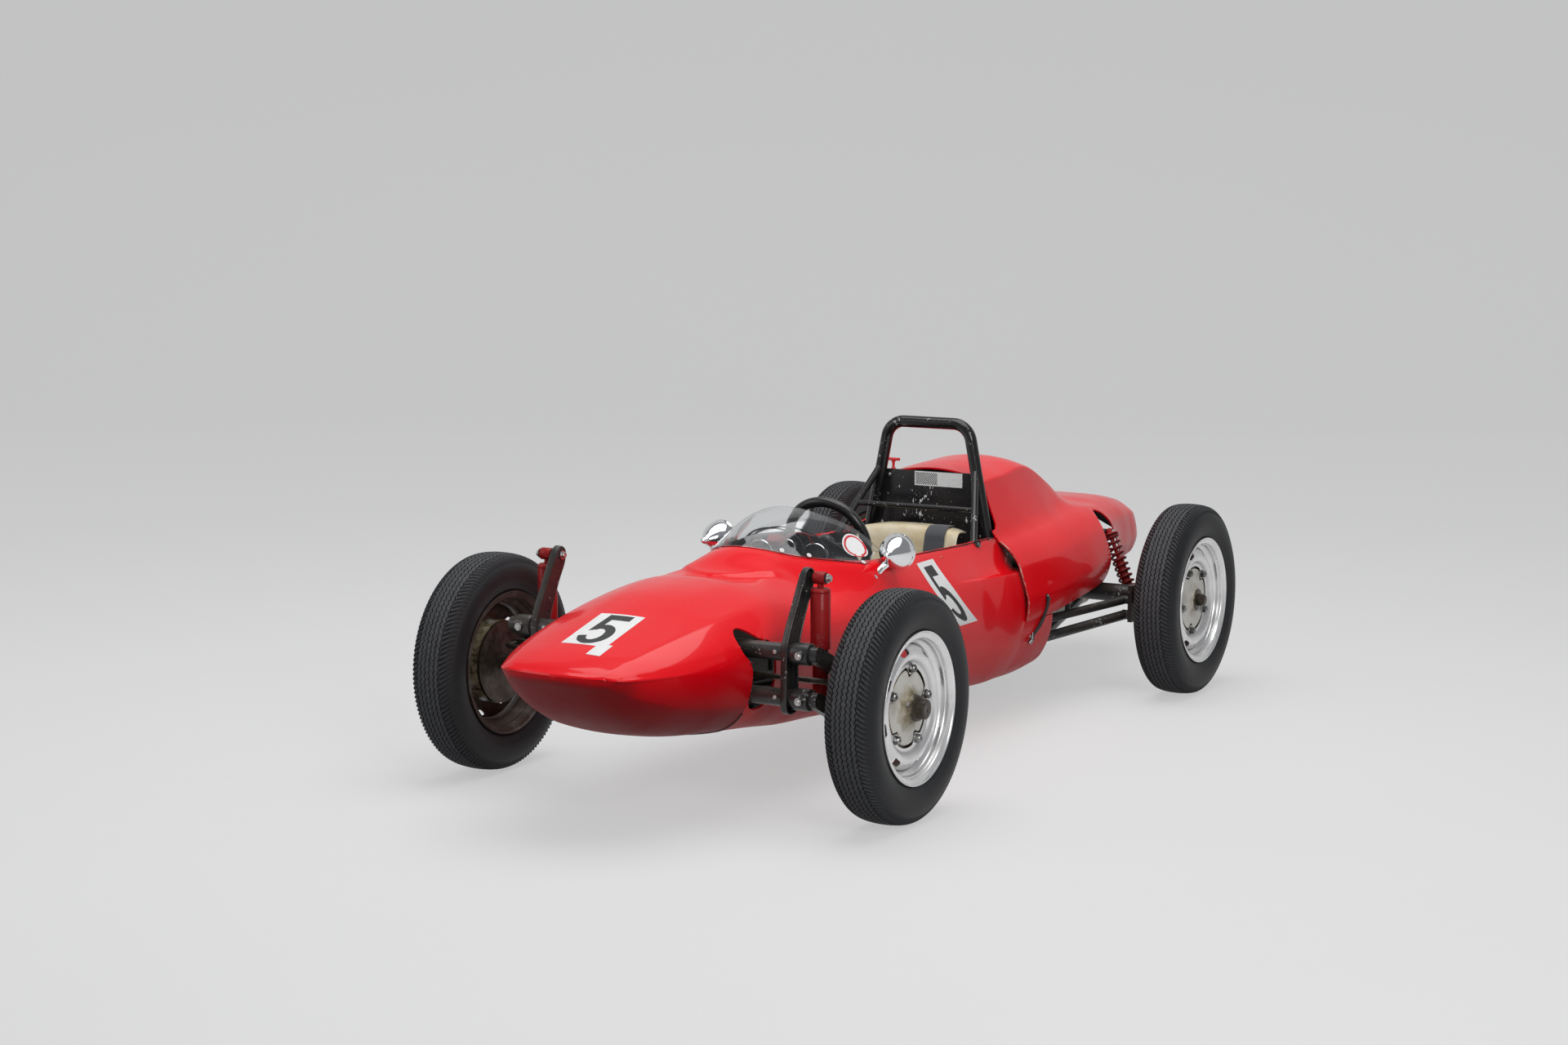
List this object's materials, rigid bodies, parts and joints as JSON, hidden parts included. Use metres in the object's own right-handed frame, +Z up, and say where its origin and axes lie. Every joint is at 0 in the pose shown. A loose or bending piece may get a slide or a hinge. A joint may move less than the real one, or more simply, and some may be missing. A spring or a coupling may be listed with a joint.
{
  "type": "open-wheel single-seat racing car",
  "caption": "Open-wheel single-seater with a shovel nose, twin-tube front beam, bubble windscreen, roll hoop, humped engine cover and swing rear axle on steel wheels.",
  "frame": {"origin": "on the ground, midway along and across the car's overall box", "axes": "+Z up, the nose points to -Y, +X is the car's left"},
  "size_m": [1.484, 3.455, 0.937],
  "materials": {
    "body_red": "gloss paint over glass fibre, light chips",
    "screen_clear": "clear acrylic sheet",
    "dash_black": "matt black",
    "frame_black": "satin black, worn and greasy",
    "panel_black": "gloss black with pale chips",
    "seat_gold": "aged gelcoat",
    "belt_grey": "woven webbing",
    "shock_red": "weathered red paint",
    "steel_dark": "greasy forged steel",
    "wheel_silver": "bright silver paint",
    "drum_silver": "silver paint with grease and dust",
    "tyre_black": "ribbed road rubber",
    "grip_black": "black stitched grip",
    "engine_grey": "cast alloy, oily",
    "exhaust_steel": "heat-stained pipe",
    "chrome": "polished"
  },
  "bodies": {
    "chassis": {"nose_cowl": "body_red", "cockpit_tub": "body_red", "engine_cover": "body_red", "windscreen": "screen_clear", "dash_panel": "dash_black", "roll_bar": "frame_black", "chassis_frame": "frame_black", "front_beam": "frame_black", "steering_column": "frame_black", "pedals": "frame_black", "gear_lever": "frame_black", "front_arms_left": "frame_black", "front_arms_right": "frame_black", "rear_arms_left": "frame_black", "rear_arms_right": "frame_black", "axle_tube_left": "frame_black", "axle_tube_right": "frame_black", "firewall_panel": "panel_black", "seat": "seat_gold", "seat_belt": "belt_grey", "front_shock_left": "shock_red", "front_shock_right": "shock_red", "coil_over_left": "shock_red", "coil_over_right": "shock_red", "engine_block": "engine_grey", "transaxle": "engine_grey", "exhaust": "exhaust_steel", "mirror_left": "chrome", "mirror_right": "chrome"},
    "knuckle_left": {"knuckle_left": "steel_dark"},
    "knuckle_right": {"knuckle_right": "steel_dark"},
    "track_rod": {"track_rod": "steel_dark"},
    "steering_wheel": {"steering_wheel": "grip_black"},
    "wheel_front_left": {"tyre_front_left": "tyre_black", "rim_front_left": "wheel_silver", "drum_front_left": "drum_silver"},
    "wheel_front_right": {"tyre_front_right": "tyre_black", "rim_front_right": "wheel_silver", "drum_front_right": "drum_silver"},
    "wheel_rear_left": {"tyre_rear_left": "tyre_black", "rim_rear_left": "wheel_silver", "drum_rear_left": "drum_silver"},
    "wheel_rear_right": {"tyre_rear_right": "tyre_black", "rim_rear_right": "wheel_silver", "drum_rear_right": "drum_silver"}
  },
  "joints": [
    {"name": "steer_left", "type": "hinge", "parent": "chassis", "child": "knuckle_left", "pos_m": [0.54, -1.0725, 0.3137], "axis": [0, 0, 1], "range_deg": [-25, 25]},
    {"name": "steer_right", "type": "hinge", "parent": "chassis", "child": "knuckle_right", "pos_m": [-0.54, -1.0725, 0.3137], "axis": [0, 0, 1], "range_deg": [-26, 26]},
    {"name": "track_slide", "type": "slide", "parent": "chassis", "child": "track_rod", "axis": [1, 0, 0], "range_m": [-0.036, 0.036]},
    {"name": "steering_turn", "type": "hinge", "parent": "chassis", "child": "steering_wheel", "pos_m": [0, -0.3025, 0.6], "axis": [0, 0.9659, 0.2588], "range_deg": [-302, 302]},
    {"name": "spin_front_left", "type": "hinge", "parent": "knuckle_left", "child": "wheel_front_left", "pos_m": [0.658, -1.0725, 0.3137], "axis": [1, 0, 0], "continuous": true},
    {"name": "spin_front_right", "type": "hinge", "parent": "knuckle_right", "child": "wheel_front_right", "pos_m": [-0.658, -1.0725, 0.3137], "axis": [1, 0, 0], "continuous": true},
    {"name": "spin_rear_left", "type": "hinge", "parent": "chassis", "child": "wheel_rear_left", "pos_m": [0.6305, 1.032, 0.3137], "axis": [1, 0, 0], "continuous": true},
    {"name": "spin_rear_right", "type": "hinge", "parent": "chassis", "child": "wheel_rear_right", "pos_m": [-0.6305, 1.032, 0.3137], "axis": [1, 0, 0], "continuous": true}
  ],
  "couplings": [
    {"joint": "steer_right", "follows": "steer_left", "ratio": 1},
    {"joint": "track_slide", "follows": "steer_left", "m_per_rad": 0.0775},
    {"joint": "steering_turn", "follows": "steer_left", "ratio": 12}
  ]
}
